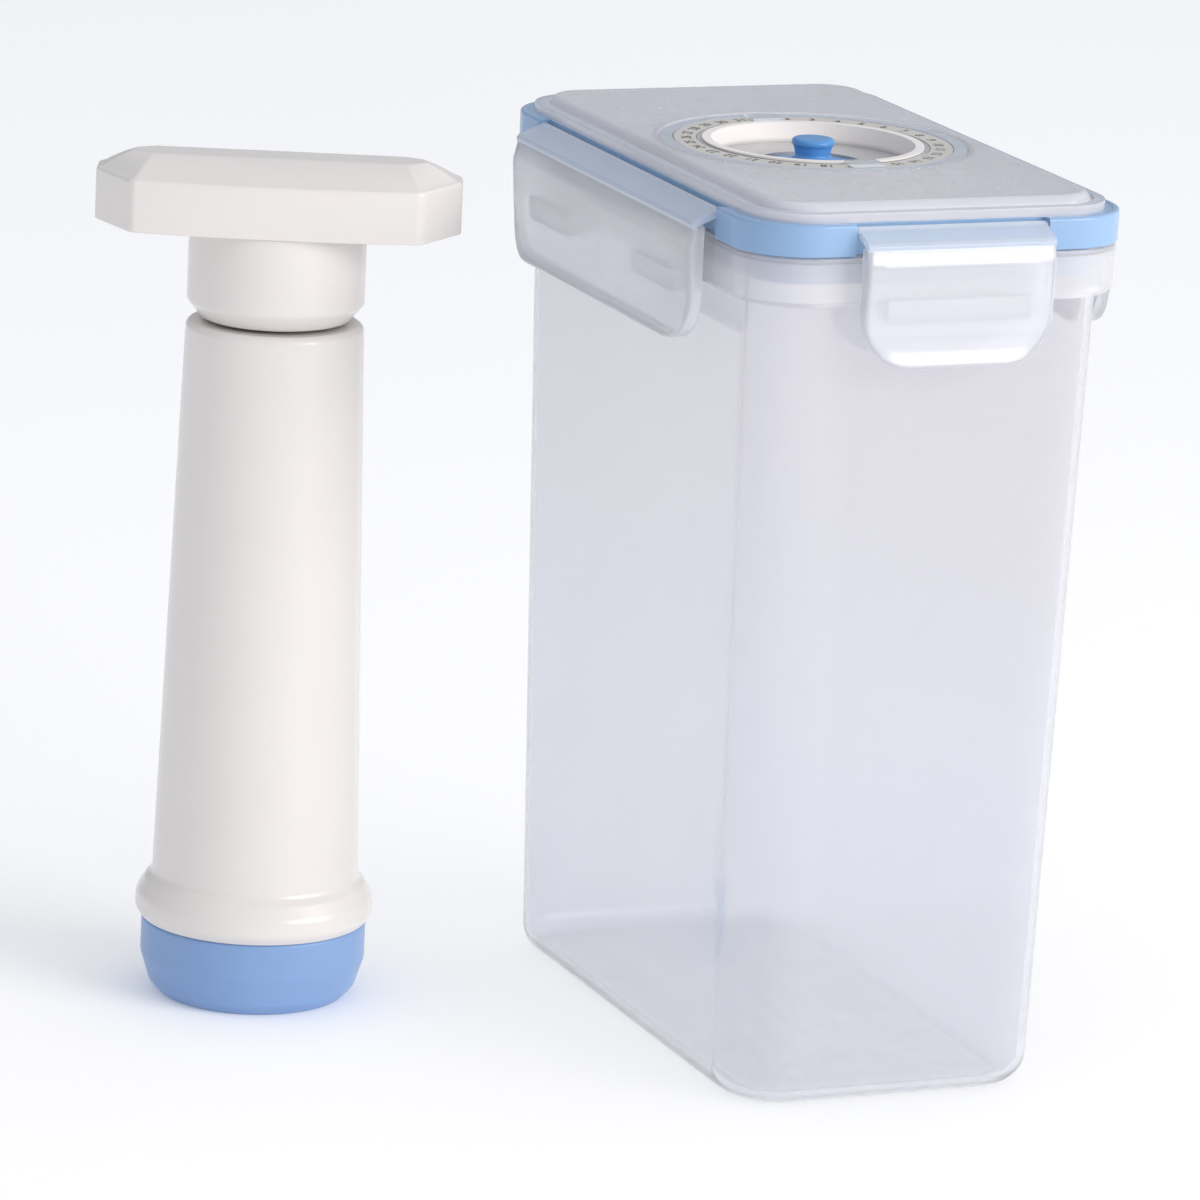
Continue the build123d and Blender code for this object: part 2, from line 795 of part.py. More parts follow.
# The neck: a hollow drum with a chamfered foot that the rod passes
with BuildPart() as pump_neck:
    with BuildSketch(pump_plane):
        with BuildLine():
            Polyline(
                (rod_radius, neck_bottom),
                (neck_foot_radius, neck_bottom),
                (neck_radius, neck_bottom + neck_foot_height),
                (neck_radius, neck_top),
                (neck_radius - neck_wall, neck_top),
                (neck_radius - neck_wall, neck_bottom + neck_foot_height),
                (neck_foot_radius - neck_wall, neck_bottom + neck_wall),
                (rod_radius, neck_bottom + neck_wall),
                close=True,
            )
        make_face()
    revolve(axis=pump_axis)
finish(pump_neck, "pump_neck")


def handle_level(height):
    """The level plane of the T handle, turned about the pump's axis."""
    turned = handle_turn * pi / 180
    return Plane(origin=(pump_x, pump_y, height), x_dir=(cos(turned), sin(turned), 0))


def pointed_sides(length, width, point_length, point_width, bow):
    """The corners of a long plan whose ends taper to a short tip, and the depth of its bow."""
    side = length / 2 - point_length
    shoulder = width / 2 - bow
    tip = point_width / 2
    with BuildLine() as outline:
        if bow:
            ThreePointArc((-side, -shoulder), (0, -width / 2), (side, -shoulder))
            ThreePointArc((side, shoulder), (0, width / 2), (-side, shoulder))
        else:
            Line((-side, -shoulder), (side, -shoulder))
            Line((side, shoulder), (-side, shoulder))
        Polyline((side, -shoulder), (length / 2, -tip), (length / 2, tip), (side, shoulder))
        Polyline((-side, shoulder), (-length / 2, tip), (-length / 2, -tip), (-side, -shoulder))
    make_face(outline.edges())


def handle_outline(inset):
    """The handle's plan with bowed sides, moved inwards, in the sketch that is open."""
    pointed_sides(
        handle_length, handle_depth, handle_point_length, handle_point_width, handle_side_bow
    )
    if inset:
        offset(amount=-inset, kind=Kind.INTERSECTION)


def handle_block(inset, drop, mode):
    """The handle's outline raised to its face height, with the crown above, in the open part."""
    shoulder_height = neck_top + handle_face_height - drop
    with BuildSketch(handle_level(neck_top)) as foot:
        handle_outline(inset)
    extrude(foot.sketch, amount=handle_face_height - drop, mode=mode)
    with BuildSketch(handle_level(shoulder_height)) as shoulder:
        handle_outline(inset)
    with BuildSketch(handle_level(shoulder_height + handle_crown)) as ridge:
        pointed_sides(
            handle_ridge_length,
            handle_ridge_width,
            handle_ridge_point_length,
            handle_ridge_point_width,
            0,
        )
    loft([shoulder.sketch.face(), ridge.sketch.face()], ruled=True, mode=mode)


with BuildPart() as pump_handle_base:
    with BuildSketch(handle_level(neck_top)):
        handle_outline(handle_wall + seat_gap)
        Circle(screw_radius, mode=Mode.SUBTRACT)
    extrude(amount=handle_base_thickness)
finish(pump_handle_base, "pump_handle_base")

with BuildPart() as pump_handle:
    handle_block(0, 0, Mode.ADD)
    brim = neck_top + handle_face_height
    brim_edges = pump_handle.edges().filter_by_position(Axis.Z, brim - seat_gap, brim + seat_gap)
    fillet(brim_edges, handle_edge)
    handle_block(handle_wall, handle_wall, Mode.SUBTRACT)
finish(pump_handle, "pump_handle")

# The screw clamps the handle's base to the rod
with BuildPart() as handle_screw:
    with BuildSketch(pump_level(neck_top - screw_length)):
        Circle(screw_radius)
    extrude(amount=screw_length + handle_base_thickness)
    with BuildSketch(pump_level(neck_top + handle_base_thickness)):
        Circle(screw_head)
    extrude(amount=screw_head_height)
finish(handle_screw, "handle_screw")
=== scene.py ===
"""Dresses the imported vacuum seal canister: finished surfaces, materials, floor, light, camera.

The canister stands on the floor with its middle at the origin and its front at -Y. The hand pump
stands beside it at -X. Shapes are worked out in millimetres and put into meshes in metres.
"""

import bpy
import numpy as np
from mathutils import Matrix


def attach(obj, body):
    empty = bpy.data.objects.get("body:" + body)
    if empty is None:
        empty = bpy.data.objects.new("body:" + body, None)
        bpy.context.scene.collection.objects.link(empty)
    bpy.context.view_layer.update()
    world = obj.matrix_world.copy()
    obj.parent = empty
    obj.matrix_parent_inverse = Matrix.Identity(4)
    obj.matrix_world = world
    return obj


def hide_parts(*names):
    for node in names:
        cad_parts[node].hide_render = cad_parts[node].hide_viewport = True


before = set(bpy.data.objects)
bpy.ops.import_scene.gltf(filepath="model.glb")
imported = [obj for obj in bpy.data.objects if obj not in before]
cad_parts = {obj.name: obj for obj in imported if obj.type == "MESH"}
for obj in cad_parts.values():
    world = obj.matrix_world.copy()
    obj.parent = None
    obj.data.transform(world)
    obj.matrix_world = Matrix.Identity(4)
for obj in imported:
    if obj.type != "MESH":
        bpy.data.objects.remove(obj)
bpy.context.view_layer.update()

# One millimetre in metres, the least radius of an edge, and the size of a handling mark
metres = 0.001
least_edge = 0.05
handling_mark = 7.0

# Refractive indices
polypropylene_ior = 1.49
silicone_ior = 1.41
nitrile_ior = 1.5
abs_ior = 1.53
polystyrene_ior = 1.55
styrene_copolymer_ior = 1.57
acetal_ior = 1.48
ink_ior = 1.5

# Main sizes in millimetres: lid, box, frame, latches, dial, and where the pump stands
lid_width = 96.0
lid_depth = 160.0
lid_corner = 17.0
rim_height = 206.9
base_inset = 8.2
base_depth_gain = 3.6
base_corner_gain = 7.2
frame_bottom = 203.6
frame_top = 211.0
recess_depth = 3.1
latch_front_width = 47.0
latch_side_width = 108.6
latch_end_gap = 0.4
dial_radius = 36.5
pump_centre = (-116.0, 47.5)


def linear(colour):
    """An sRGB hex colour as linear red, green, blue and alpha."""
    share = np.array([int(colour[k:k + 2], 16) for k in (1, 3, 5)]) / 255
    light = np.where(share <= 0.04045, share / 12.92, ((share + 0.055) / 1.055) ** 2.4)
    return (*light, 1.0)


def add_node(tree, kind, options=None, inputs=None):
    """Adds a node, sets its options, and gives its inputs values, or links from other outputs."""
    node = tree.nodes.new(kind)
    for name, value in (options or {}).items():
        setattr(node, name, value)
    for key, value in (inputs or {}).items():
        if isinstance(value, bpy.types.NodeSocket):
            tree.links.new(value, node.inputs[key])
        else:
            node.inputs[key].default_value = value
    return node


def moulded(
    name, colours, roughness, grain=None, patch=18.0, clear_share=0.0, rise=None,
    depth_tint=None, **sockets,
):
    """A moulded plastic or rubber surface. Its lengths are in millimetres.

    The colour drifts between two shades over patches of the melt's flow, or changes from the first
    to the second between the two heights of the rise, which paints shade by height. Roughness
    drifts between two values over handling marks. The grain is (size, depth) of the mould's own
    texture. The clear share of the light from lamps and pale surroundings goes straight through a
    thin wall. The depth tint is the colour that a thick wall takes on, and its strength per metre.
    """
    material = bpy.data.materials.new(name)
    material.use_nodes = True
    tree = material.node_tree
    tree.nodes.clear()
    place = add_node(tree, "ShaderNodeTexCoord").outputs["Object"]
    if rise:
        height = add_node(tree, "ShaderNodeSeparateXYZ", None, {"Vector": place}).outputs["Z"]
        drift = add_node(tree, "ShaderNodeMapRange", {"interpolation_type": "SMOOTHSTEP"}, {
            "Value": height, "From Min": rise[0] * metres, "From Max": rise[1] * metres,
        }).outputs["Result"]
    else:
        drift = add_node(tree, "ShaderNodeTexNoise", None, {
            "Vector": place, "Scale": 1 / (patch * metres), "Detail": 3.0, "Roughness": 0.55,
        }).outputs["Fac"]
    tone = add_node(tree, "ShaderNodeMix", {"data_type": "RGBA"}, {
        0: drift, 6: linear(colours[0]), 7: linear(colours[1]),
    })
    handling = add_node(tree, "ShaderNodeTexNoise", None, {
        "Vector": place, "Scale": 1 / (handling_mark * metres), "Detail": 5.0, "Roughness": 0.65,
    })
    gloss = add_node(tree, "ShaderNodeMapRange", None, {
        "Value": handling.outputs["Fac"], "From Min": 0.3, "From Max": 0.7,
        "To Min": roughness[0], "To Max": roughness[1],
    })
    shader = add_node(tree, "ShaderNodeBsdfPrincipled", None, {
        "Base Color": tone.outputs[2],
        "Roughness": gloss.outputs["Result"],
        **{key.replace("_", " "): value for key, value in sockets.items()},
    })
    if grain:
        texture = add_node(tree, "ShaderNodeTexNoise", None, {
            "Vector": place, "Scale": 1 / (grain[0] * metres), "Detail": 2.0,
        })
        relief = add_node(tree, "ShaderNodeBump", None, {
            "Height": texture.outputs["Fac"], "Distance": grain[1] * metres, "Strength": 1.0,
        })
        tree.links.new(relief.outputs["Normal"], shader.inputs["Normal"])
    surface = shader.outputs["BSDF"]
    if clear_share:
        rays = add_node(tree, "ShaderNodeLightPath")
        lighting = add_node(tree, "ShaderNodeMath", {"operation": "MAXIMUM"}, {
            0: rays.outputs["Is Shadow Ray"], 1: rays.outputs["Is Diffuse Ray"],
        })
        passing = add_node(tree, "ShaderNodeMath", {"operation": "MULTIPLY"}, {
            0: lighting.outputs["Value"], 1: clear_share,
        })
        open_way = add_node(tree, "ShaderNodeBsdfTransparent")
        surface = add_node(tree, "ShaderNodeMixShader", None, {
            0: passing.outputs["Value"], 1: surface, 2: open_way.outputs["BSDF"],
        }).outputs["Shader"]
    result = add_node(tree, "ShaderNodeOutputMaterial", None, {"Surface": surface})
    if depth_tint:
        inside = add_node(tree, "ShaderNodeVolumeAbsorption", None, {
            "Color": linear(depth_tint[0]), "Density": depth_tint[1],
        })
        tree.links.new(inside.outputs["Volume"], result.inputs["Volume"])
    return material


# Natural polypropylene, injection moulded against a polished steel core: clear but a little milky,
# with a faint lilac cast, so that far walls show through softly and doubled walls look darker
# Bluish white low on the walls, greyer above, between 70 and 130 mm: painted shade by height
body_plastic = moulded(
    "natural_polypropylene_polished", ("#edeef3", "#edecf0"), (0.06, 0.12), (24.0, 0.03),
    clear_share=0.94, rise=(70.0, 130.0), depth_tint=("#3f8fb0", 8.0),
    Transmission_Weight=0.88, IOR=polypropylene_ior,
)
# Its folded flange is two walls thick: hazier, with painted light in its whiter colour
flange_plastic = moulded(
    "natural_polypropylene_flange", ("#efeff3", "#f3f3f7"), (0.2, 0.265), (24.0, 0.03),
    clear_share=0.9, Transmission_Weight=0.76, IOR=polypropylene_ior,
)
# The same plastic from a spark-eroded mould: the lid panel scatters light and looks frosted
cover_plastic = moulded(
    "natural_polypropylene_frosted", ("#e9e9f0", "#efeff4"), (0.2, 0.265),
    clear_share=0.75, Transmission_Weight=0.62, IOR=polypropylene_ior,
)
# Latches of thicker natural polypropylene: whiter, glossy on top, soft light inside
latch_plastic = moulded(
    "natural_polypropylene_latch", ("#eceef4", "#f0f1f6"), (0.12, 0.2), (16.0, 0.03),
    clear_share=0.7, Transmission_Weight=0.68, IOR=polypropylene_ior,
)
# The same at the latches' webs, painted blue for the frame's blue that shows through from below
web_plastic = moulded(
    "natural_polypropylene_hinge", ("#dbe8f9", "#dfebfa"), (0.22, 0.26),
    clear_share=0.7, Transmission_Weight=0.6, IOR=polypropylene_ior,
)
# Polypropylene with a light blue masterbatch, semi-gloss
frame_plastic = moulded(
    "blue_polypropylene_moulded", ("#86a7cd", "#90b0d4"), (0.12, 0.2), (12.0, 0.015),
    IOR=polypropylene_ior, Subsurface_Weight=0.25, Subsurface_Radius=(0.003, 0.004, 0.006),
)
# Milk-white silicone, matt from its mould
gasket_rubber = moulded(
    "white_silicone_moulded", ("#dfe3ea", "#e8ebf0"), (0.4, 0.5), IOR=silicone_ior,
)
# ABS from a fine-sparked mould: satin, warm white towards the rim, painted shade grey on the floor
shaded_dish_plastic = moulded(
    "white_abs_dish_painted_shade", ("#b8b7b9", "#f1edea"), (0.3, 0.4), rise=(209.4, 211.2), IOR=abs_ior,
)
# Nitrile rubber: nearly black and matt
seal_black = moulded(
    "black_nitrile_moulded", ("#17171a", "#222226"), (0.45, 0.6), IOR=nitrile_ior,
)
# Blue silicone of the valve: saturated, soft sheen, light bleeds through thin edges
valve_silicone = moulded(
    "blue_silicone_valve", ("#4886c6", "#5c9ad6"), (0.28, 0.38),
    IOR=silicone_ior, Subsurface_Weight=0.2, Subsurface_Radius=(0.001, 0.002, 0.004),
)
# Polystyrene, moulded opaque: warm grey and matt, so the numbers stand out
day_plastic = moulded(
    "grey_polystyrene_dial", ("#c3c0bb", "#ceccc7"), (0.35, 0.45), IOR=polystyrene_ior,
)
# Pad-printed ink: dark warm grey, a thin matt film
day_ink = moulded(
    "grey_pad_print_ink", ("#33312e", "#403d3a"), (0.4, 0.55), IOR=ink_ior,
)
# Clear polystyrene, polished: a glossy, faintly blue ring over the dial
ring_plastic = moulded(
    "clear_polystyrene_ring", ("#e3ebf4", "#eef2f7"), (0.08, 0.14),
    clear_share=0.8, Transmission_Weight=0.7, IOR=polystyrene_ior,
)
# The same from a dull mould: pale blue-grey, and less clear
bezel_plastic = moulded(
    "clear_polystyrene_bezel", ("#cfdaea", "#dde4ee"), (0.29, 0.36),
    clear_share=0.6, Transmission_Weight=0.4, IOR=polystyrene_ior,
)
# Thick blue silicone of the pump's cup: paler than the valve, with a dull sheen
cup_silicone = moulded(
    "blue_silicone_cup", ("#7d9dcb", "#89a8d4"), (0.3, 0.4),
    IOR=silicone_ior, Subsurface_Weight=0.2, Subsurface_Radius=(0.002, 0.003, 0.006),
)
# ABS from a polished mould: warm white, with long soft highlights down the barrel
pump_plastic = moulded(
    "white_abs_polished", ("#dedad7", "#e2dedb"), (0.21, 0.265), IOR=abs_ior,
    Subsurface_Weight=0.1, Subsurface_Radius=(0.004, 0.003, 0.002),
)
# Acetal, turned from rod: plain white and satin
inner_plastic = moulded(
    "white_acetal_turned", ("#d8d8d8", "#e2e2e2"), (0.3, 0.4), IOR=acetal_ior,
)
# Clear styrene copolymer: a glossy, see-through tube
cylinder_plastic = moulded(
    "clear_styrene_cylinder", ("#dfe3e8", "#e8ebef"), (0.06, 0.1),
    Transmission_Weight=0.8, IOR=styrene_copolymer_ior,
)
# Steel with a zinc plating: grey, half bright
screw_metal = moulded(
    "zinc_plated_steel", ("#a9abad", "#c2c4c6"), (0.3, 0.4), Metallic=1.0,
)

cad_finish = {
    "canister_body": body_plastic,
    "lid_frame": frame_plastic,
    "lid_cover": cover_plastic,
    "lid_gasket": gasket_rubber,
    "valve_housing": shaded_dish_plastic,
    "housing_o_ring": seal_black,
    "valve_button": valve_silicone,
    "day_ring": day_plastic,
    "pointer_ring": ring_plastic,
    "dial_bezel": bezel_plastic,
    "latch_front": latch_plastic,
    "latch_back": latch_plastic,
    "latch_left": latch_plastic,
    "latch_right": latch_plastic,
    "pump_suction_cup": cup_silicone,
    "pump_barrel": pump_plastic,
    "pump_valve_plate": inner_plastic,
    "pump_inlet_valve": seal_black,
    "pump_cylinder": cylinder_plastic,
    "pump_top_bush": inner_plastic,
    "pump_rod": inner_plastic,
    "pump_piston": inner_plastic,
    "pump_piston_seal": seal_black,
    "pump_exhaust_valve": seal_black,
    "pump_neck": pump_plastic,
    "pump_handle_base": pump_plastic,
    "pump_handle": pump_plastic,
    "handle_screw": screw_metal,
}
for node_name, node_material in cad_finish.items():
    node_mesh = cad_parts[node_name].data
    node_mesh.materials.clear()
    node_mesh.materials.append(node_material)


def soft_corners(corners, radii, steps=6, closed=False):
    """A profile whose corners are rounded, as rows of two numbers.

    Each arc starts and ends radius / tan(half the corner's angle) from the corner, and its points
    turn by equal angles about the arc's centre. The ends of an open profile stay as they are.
    """
    corner = np.array(corners, float)
    radius = np.maximum(np.broadcast_to(radii, len(corner)), least_edge)[:, None]
    back = np.roll(corner, 1, 0) - corner
    ahead = np.roll(corner, -1, 0) - corner
    back /= np.linalg.norm(back, axis=1)[:, None]
    ahead /= np.linalg.norm(ahead, axis=1)[:, None]
    half = np.arccos(np.clip((back * ahead).sum(1), -1, 1))[:, None] / 2
    middle = back + ahead
    middle /= np.linalg.norm(middle, axis=1)[:, None]
    centre = corner + middle * radius / np.sin(half)
    start = corner + back * radius / np.tan(half) - centre
    end = corner + ahead * radius / np.tan(half) - centre
    turn = (np.pi - 2 * half)[:, None]
    share = np.linspace(0, 1, steps)[None, :, None]
    arcs = np.sin((1 - share) * turn) * start[:, None] + np.sin(share * turn) * end[:, None]
    arcs = centre[:, None] + arcs / np.sin(turn)
    if closed:
        return arcs.reshape(-1, 2)
    return np.vstack([corner[:1], arcs[1:-1].reshape(-1, 2), corner[-1:]])


def grid_surface(grid, ends="loop"):
    """A grid of points, rows by columns, joined into a closed surface.

    Columns always meet round. The rows meet round too ("loop"), or the first and last row are
    each closed by a flat face ("flat") or by triangles to the row's own middle ("pole"). Faces
    are turned outwards by the sign of the volume that they enclose.
    """
    rows, columns = grid.shape[:2]
    index = np.arange(rows * columns).reshape(rows, columns)
    lower, upper = (index, np.roll(index, -1, 0)) if ends == "loop" else (index[:-1], index[1:])
    quads = np.stack([lower, np.roll(lower, -1, 1), np.roll(upper, -1, 1), upper], -1)
    quads = quads.reshape(-1, 4)
    points = grid.reshape(-1, 3)
    triangles = np.zeros((0, 3), int)
    caps = []
    if ends == "pole":
        first, last = rows * columns, rows * columns + 1
        points = np.vstack([points, grid[0].mean(0), grid[-1].mean(0)])
        fan = [np.roll(index[0], -1), index[0], np.full(columns, first)]
        far_fan = [index[-1], np.roll(index[-1], -1), np.full(columns, last)]
        triangles = np.vstack([np.stack(fan, -1), np.stack(far_fan, -1)])
    if ends == "flat":
        caps = [index[0][::-1], index[-1]]
    a, b, c, d = (points[quads[:, k]] for k in range(4))
    volume = (a * np.cross(b, c)).sum() + (a * np.cross(c, d)).sum()
    if len(triangles):
        a, b, c = (points[triangles[:, k]] for k in range(3))
        volume += (a * np.cross(b, c)).sum()
    for cap in caps:
        ring = points[cap]
        volume += (ring[0] * np.cross(ring, np.roll(ring, -1, 0))).sum()
    faces = quads.tolist() + triangles.tolist() + [cap.tolist() for cap in caps]
    if volume < 0:
        faces = [face[::-1] for face in faces]
    return points, faces


def make_piece(name, body, material, surfaces, replaced=(), crease=32.0):
    """One mesh object of several closed surfaces, smooth but for edges sharper than the crease."""
    points = np.vstack([surface[0] for surface in surfaces])
    starts = np.cumsum([0] + [len(surface[0]) for surface in surfaces[:-1]])
    faces = [
        [corner + int(start) for corner in face]
        for start, surface in zip(starts, surfaces) for face in surface[1]
    ]
    mesh = bpy.data.meshes.new(name)
    mesh.from_pydata(points * metres, [], faces)
    mesh.shade_smooth()
    mesh.set_sharp_from_angle(angle=np.radians(crease))
    mesh.materials.append(material)
    piece = bpy.data.objects.new(name, mesh)
    bpy.context.scene.collection.objects.link(piece)
    weights = piece.modifiers.new("flat_faces_stay_flat", "WEIGHTED_NORMAL")
    weights.keep_sharp = True
    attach(piece, body)
    if replaced:
        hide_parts(*replaced)


def rounded_path(across, along, corner_steps=14):
    """Columns round a rounded rectangle: the corner centre's share and the way out, in x and y.

    A column's point is share * (half size - radius) + radius * way out. The stations on the
    straight sides are shares of the distance from the middle to a corner centre.
    """
    quarter = np.linspace(0, np.pi / 2, corner_steps)
    columns = []
    for k, (share_x, share_y) in enumerate(((1, 1), (-1, 1), (-1, -1), (1, -1))):
        turn = quarter + k * np.pi / 2
        columns.append(np.stack([
            np.full(corner_steps, share_x), np.full(corner_steps, share_y),
            np.cos(turn), np.sin(turn),
        ], -1))
        side = np.sort(np.asarray(across if k % 2 == 0 else along, float))[::-1]
        out = np.array([(0, 1), (-1, 0), (0, -1), (1, 0)][k])
        way = np.array([(1, 0), (0, 1), (-1, 0), (0, -1)][k])
        columns.append(np.hstack([
            side[:, None] * way + out, np.broadcast_to(out, (len(side), 2)),
        ]))
    return np.vstack(columns).T


def carried(path, half_x, half_y, radius, height):
    """A profile carried round the path: each row has its half sizes, corner radius and height."""
    share_x, share_y, out_x, out_y = path
    half_x, half_y, radius, height = (
        np.atleast_1d(np.asarray(value, float))[:, None]
        for value in (half_x, half_y, radius, height)
    )
    radius = np.minimum(np.maximum(radius, least_edge), np.minimum(half_x, half_y))
    x = share_x * (half_x - radius) + radius * out_x
    y = share_y * (half_y - radius) + radius * out_y
    return np.stack([x, y, np.broadcast_to(height, x.shape)], -1)


def carried_inset(path, profile):
    """A profile of (inset from the lid's outline, height) carried round that outline."""
    inset, height = profile.T
    return carried(path, lid_width / 2 - inset, lid_depth / 2 - inset, lid_corner - inset, height)


def turned(profile, centre=(0.0, 0.0), around=160):
    """A profile of (radius, height) carried round an upright axis."""
    turn = np.linspace(0, 2 * np.pi, around, endpoint=False)
    radius, height = (profile[:, k, None] for k in range(2))
    x = centre[0] + radius * np.cos(turn)
    y = centre[1] + radius * np.sin(turn)
    return np.stack([x, y, np.broadcast_to(height, x.shape)], -1)


even_across = np.linspace(-0.9, 0.9, 11)
even_along = np.linspace(-0.94, 0.94, 17)

# The canister's box
floor_top = 2.2
wall_top = 196.0
wide_sink = 0.9
narrow_sink = 0.54
box_profile = np.vstack([
    [(47.0, 0.0), (38.0, 0.0), (28.0, 0.0), (20.0, 0.0)],
    soft_corners(
        [
            (17.5, 0.0), (base_inset, 0.0), (4.27, 203.3), (4.2, rim_height), (6.0, rim_height),
            (10.0, floor_top), (17.0, floor_top),
        ],
        [0, 7.0, 0.5, 0.5, 0.5, 5.0, 0], steps=7,
    ),
    [(20.0, floor_top), (28.0, floor_top), (38.0, floor_top), (46.0, floor_top)],
])


def along_walls(profile, longest):
    """Adds rows on a profile's long runs, so that no run is longer than the longest."""
    gap = np.linalg.norm(np.diff(profile, axis=0), axis=1)
    count = np.maximum(np.ceil(gap / longest).astype(int), 1)
    place = np.concatenate([
        k + np.linspace(0, 1, n, endpoint=False) for k, n in enumerate(count)
    ] + [[len(profile) - 1.0]])
    station = np.arange(len(profile))
    return np.stack([np.interp(place, station, profile[:, k]) for k in range(2)], -1)


def box_grid(path, profile):
    """The box: its outline widens from the base to the rim, and its flat walls sink inwards.

    The base is a little deeper and has rounder corners than the inset alone gives, and both gains
    fall in a straight line to nothing at the rim. The sink is a squared sine up the wall times a
    squared cosine along it.
    """
    inset, height = profile.T
    below = 1 - height / rim_height
    grid = carried(
        path, lid_width / 2 - inset, lid_depth / 2 - inset + base_depth_gain / 2 * below,
        lid_corner - inset + base_corner_gain * below, height,
    )
    x, y, z = (grid[..., k].copy() for k in range(3))
    rise = np.sin(np.pi * np.clip(z / wall_top, 0, 1)) ** 2
    half_x, half_y = lid_width / 2 - base_inset, lid_depth / 2 - base_inset
    bow_x = np.cos(np.pi / 2 * np.clip(y / half_y, -1, 1)) ** 2
    bow_y = np.cos(np.pi / 2 * np.clip(x / half_x, -1, 1)) ** 2
    grid[..., 0] -= wide_sink * x / half_x * rise * bow_x
    grid[..., 1] -= narrow_sink * y / half_y * rise * bow_y
    return grid


body_path = rounded_path(even_across, even_along, 18)
make_piece(
    "canister_box", "canister", body_plastic,
    [grid_surface(box_grid(body_path, along_walls(box_profile, 9.0)), "pole")], ["canister_body"],
)
flange_profile = soft_corners(
    [
        (2.2, 191.8), (1.6, 191.8), (0.6, 193.0), (0.6, 203.3), (4.6, 203.3), (4.6, 201.7),
        (2.2, 201.7),
    ],
    [0.3, 0.3, 0.4, 0.5, 0.3, 0.3, 0.3], closed=True,
)
make_piece(
    "canister_flange", "canister", flange_plastic,
    [grid_surface(carried_inset(body_path, along_walls(flange_profile, 4.0)))],
)

# The blue frame, with a recess in each side for its latch
recess_across = latch_front_width / 2 + latch_end_gap
recess_along = latch_side_width / 2 + latch_end_gap
corner_x = lid_width / 2 - lid_corner
corner_y = lid_depth / 2 - lid_corner
recess_slope = 0.15
stations_x = np.concatenate([
    [-recess_across - recess_slope, -recess_across, recess_across, recess_across + recess_slope],
    np.linspace(-0.8, 0.8, 9) * recess_across, [-28.0, 28.0],
]) / corner_x
stations_y = np.concatenate([
    [-recess_along - recess_slope, -recess_along, recess_along, recess_along + recess_slope],
    np.linspace(-0.9, 0.9, 11) * recess_along, [-56.0, 56.0],
]) / corner_y
frame_path = rounded_path(stations_x, stations_y, 18)
web_top = 210.8
frame_profile = soft_corners(
    [
        (0.0, frame_bottom), (0.0, frame_top), (1.5, frame_top), (1.7, web_top), (8.4, web_top),
        (8.4, 196.3), (6.6, 196.3), (6.6, 209.4), (3.8, 209.4), (3.8, frame_bottom),
    ],
    [0.35, 0.7, 0.25, 0.1, 0.3, 0.5, 0.5, 0.4, 0.4, 0.3], closed=True,
)


def frame_grid(path, profile):
    """The frame's section carried round the lid, but no further out than the recess's floor there.

    In a recess the raised lip ends at the web's height.
    """
    share_x, share_y, out_x, out_y = path
    in_recess = (np.abs(share_x * corner_x) <= recess_across + 0.01) & (np.abs(out_y) > 0.999)
    in_recess |= (np.abs(share_y * corner_y) <= recess_along + 0.01) & (np.abs(out_x) > 0.999)
    inset = profile[:, :1] + in_recess * np.maximum(recess_depth - profile[:, :1], 0)
    x = share_x * corner_x + (lid_corner - inset) * out_x
    y = share_y * corner_y + (lid_corner - inset) * out_y
    height = np.where(in_recess, np.minimum(profile[:, 1:], web_top), profile[:, 1:])
    return np.stack([x, y, height], -1)


make_piece(
    "lid_frame_ring", "lid", frame_plastic,
    [grid_surface(frame_grid(frame_path, frame_profile))], ["lid_frame"],
)

# The frosted panel: a stepped and sloped edge round a flat top, with the round well in it
panel_top = 214.7
panel_under = 212.9
well_floor = 207.7
well_under = 206.1
well_profile = soft_corners(
    [
        (60.0, well_under), (16.0, well_under), (16.0, well_floor), (dial_radius, well_floor),
        (dial_radius, panel_top), (60.0, panel_top),
    ],
    [0, 0.3, 0.3, 0.4, 0.7, 0],
)[1:-1]
edge_profile = soft_corners(
    [
        (14.0, panel_top), (8.4, panel_top), (7.0, 213.3), (6.6, 212.4), (6.2, 212.4),
        (6.0, 213.0), (3.4, 212.9), (3.4, 210.6), (5.0, 210.6), (5.0, 211.2), (8.8, 212.4),
        (9.4, panel_under), (14.0, panel_under),
    ],
    [0, 1.2, 0.2, 0.1, 0.1, 0.2, 0.25, 0.2, 0.2, 0.2, 0.3, 0.3, 0],
)[1:-1]
under_profile = np.array([(38.0, panel_under), (38.0, 206.5), (37.6, well_under)])


def cover_grid(path):
    """The panel as one loop of rows: well, top, stepped edge, hollow underside, well's wall.

    A round row takes the direction of the outline's own column, so the top runs from the circle
    to the rounded rectangle in straight lines.
    """
    edge = carried_inset(path, edge_profile)
    rim = carried_inset(path, np.array([(12.0, panel_top)]))[0]
    turn = np.arctan2(rim[:, 1], rim[:, 0])
    rounds = [
        np.stack([radius * np.cos(turn), radius * np.sin(turn), np.full(len(turn), height)], -1)
        for radius, height in np.vstack([well_profile, under_profile])
    ]
    well = np.array(rounds[:len(well_profile)])
    under = np.array(rounds[len(well_profile):])
    return np.concatenate([well, edge, under])


cover_path = rounded_path(np.linspace(-0.92, 0.92, 15), np.linspace(-0.96, 0.96, 27), 16)
rib_profile = soft_corners(
    [(8.5, 206.5), (10.1, 206.5), (10.1, 213.3), (8.5, 213.3)], 0.3, closed=True
)
make_piece(
    "lid_panel", "lid", cover_plastic,
    [
        grid_surface(cover_grid(cover_path)),
        grid_surface(carried_inset(cover_path, rib_profile)),
    ],
    ["lid_cover"],
)

